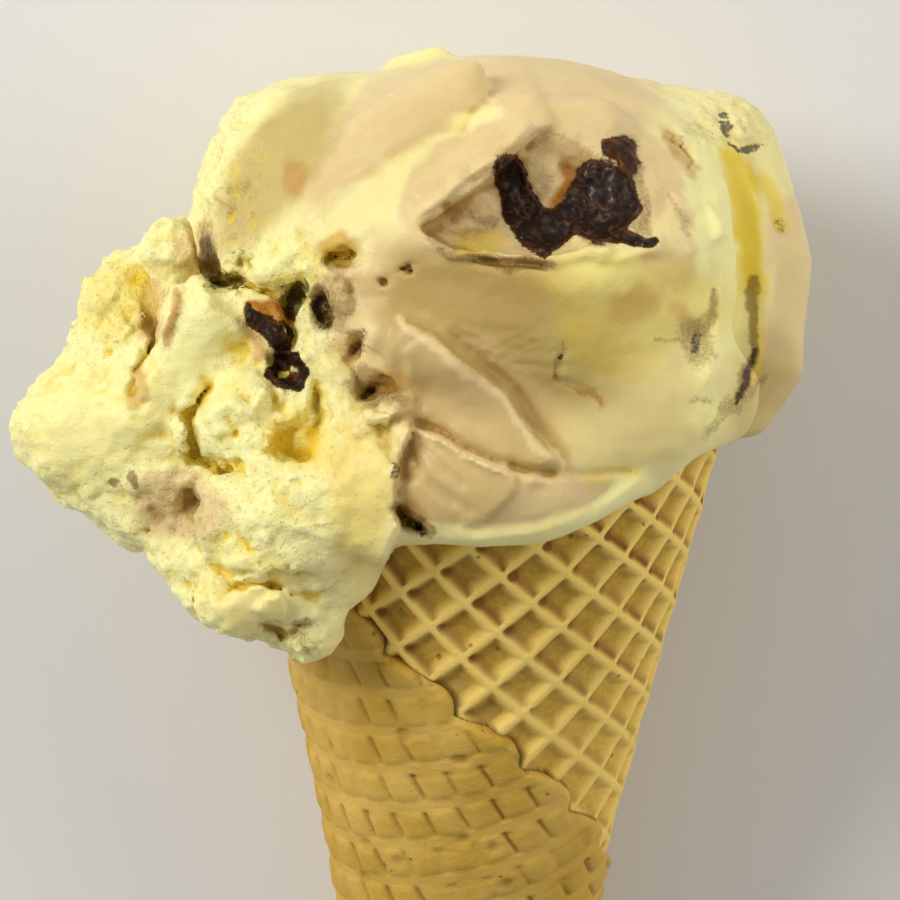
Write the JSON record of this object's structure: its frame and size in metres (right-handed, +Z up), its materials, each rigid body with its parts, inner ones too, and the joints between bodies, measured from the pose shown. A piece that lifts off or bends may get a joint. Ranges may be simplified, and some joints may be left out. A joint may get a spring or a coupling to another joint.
{
  "type": "ice cream cone",
  "caption": "Rolled waffle cone lying on its back, holding a large hand-packed scoop of lemon and toffee ice cream that spills over one side, with dark fudge.",
  "frame": {"origin": "middle of the flat spot under the scoop, on the surface that the cone lies on", "axes": "+Z up out of the shown side, +Y from the cone's tip towards the scoop, +X to the right as seen from above with the scoop at the far end"},
  "size_m": [0.1062, 0.1879, 0.0746],
  "materials": {
    "waffle": "baked, dry and matt",
    "ice_cream": "soft, moist and satin",
    "fudge": "wet and glossy"
  },
  "bodies": {
    "root": {"waffle_cone": "waffle", "ice_cream": "ice_cream", "fudge_pool": "fudge", "fudge_ribbon": "fudge"}
  },
  "joints": []
}
